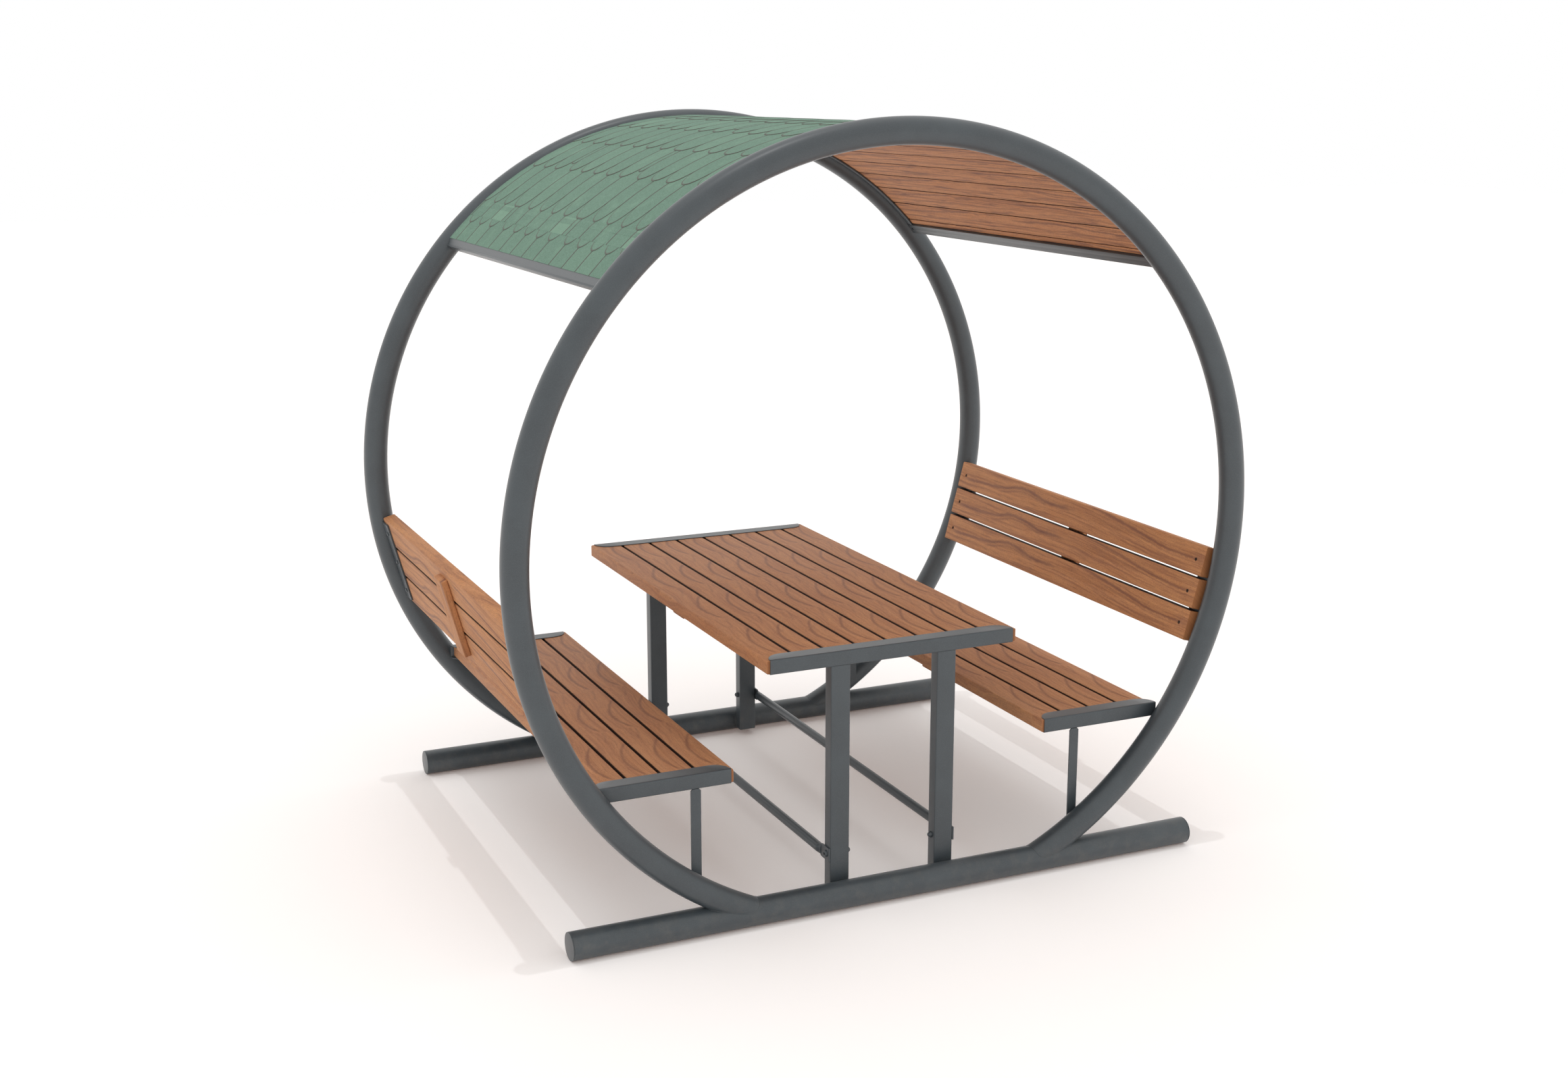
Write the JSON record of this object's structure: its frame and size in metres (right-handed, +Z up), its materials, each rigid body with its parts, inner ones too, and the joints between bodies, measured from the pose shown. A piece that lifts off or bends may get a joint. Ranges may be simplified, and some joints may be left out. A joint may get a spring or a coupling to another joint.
{
  "type": "round picnic table",
  "caption": "Picnic table with two benches set between two standing tube rings, with slatted seats, tabletop and backrests under a shingled roof arc.",
  "frame": {"origin": "on the ground, at the middle of the footprint between the two rings", "axes": "+X along the plane of the rings, from one bench to the other; +Y from the front ring to the back ring; +Z up"},
  "size_m": [2.2996, 1.6428, 2.2088],
  "materials": {
    "painted_steel": "dark grey powder coat, fine satin texture",
    "timber": "oiled reddish brown hardwood with darker wavy grain",
    "roof_timber": "oiled reddish brown lining boards with long grain",
    "shingles": "matte bitumen shingle with fine green stone granules",
    "zinc_screws": "zinc plated, satin",
    "dark_screws": "blackened, satin"
  },
  "bodies": {
    "root": {"front_ring": "painted_steel", "back_ring": "painted_steel", "front_ground_tube": "painted_steel", "back_ground_tube": "painted_steel", "ground_tube_end_caps": "painted_steel", "front_left_post": "painted_steel", "front_right_post": "painted_steel", "back_left_post": "painted_steel", "back_right_post": "painted_steel", "table_front_channel": "painted_steel", "table_back_channel": "painted_steel", "table_slat_1": "timber", "table_slat_2": "timber", "table_slat_3": "timber", "table_slat_4": "timber", "table_slat_5": "timber", "table_slat_6": "timber", "table_slat_7": "timber", "table_slat_8": "timber", "table_batten": "timber", "left_brace": "painted_steel", "right_brace": "painted_steel", "brace_bolts": "painted_steel", "brace_nuts": "painted_steel", "left_seat_front_channel": "painted_steel", "left_seat_back_channel": "painted_steel", "left_seat_slat_1": "timber", "left_seat_slat_2": "timber", "left_seat_slat_3": "timber", "left_seat_slat_4": "timber", "left_seat_batten": "timber", "right_seat_front_channel": "painted_steel", "right_seat_back_channel": "painted_steel", "right_seat_slat_1": "timber", "right_seat_slat_2": "timber", "right_seat_slat_3": "timber", "right_seat_slat_4": "timber", "right_seat_batten": "timber", "left_seat_struts": "painted_steel", "right_seat_struts": "painted_steel", "left_backrest_slat_1": "timber", "left_backrest_slat_2": "timber", "left_backrest_slat_3": "timber", "left_backrest_plates": "painted_steel", "left_backrest_batten": "timber", "right_backrest_slat_1": "timber", "right_backrest_slat_2": "timber", "right_backrest_slat_3": "timber", "right_backrest_plates": "painted_steel", "right_backrest_batten": "timber", "front_roof_arch_bar": "painted_steel", "back_roof_arch_bar": "painted_steel", "left_roof_edge_bar": "painted_steel", "right_roof_edge_bar": "painted_steel", "roof_boards": "roof_timber", "roof_shingles": "shingles", "channel_screws": "zinc_screws", "batten_screws": "zinc_screws", "backrest_screws": "dark_screws"}
  },
  "joints": []
}
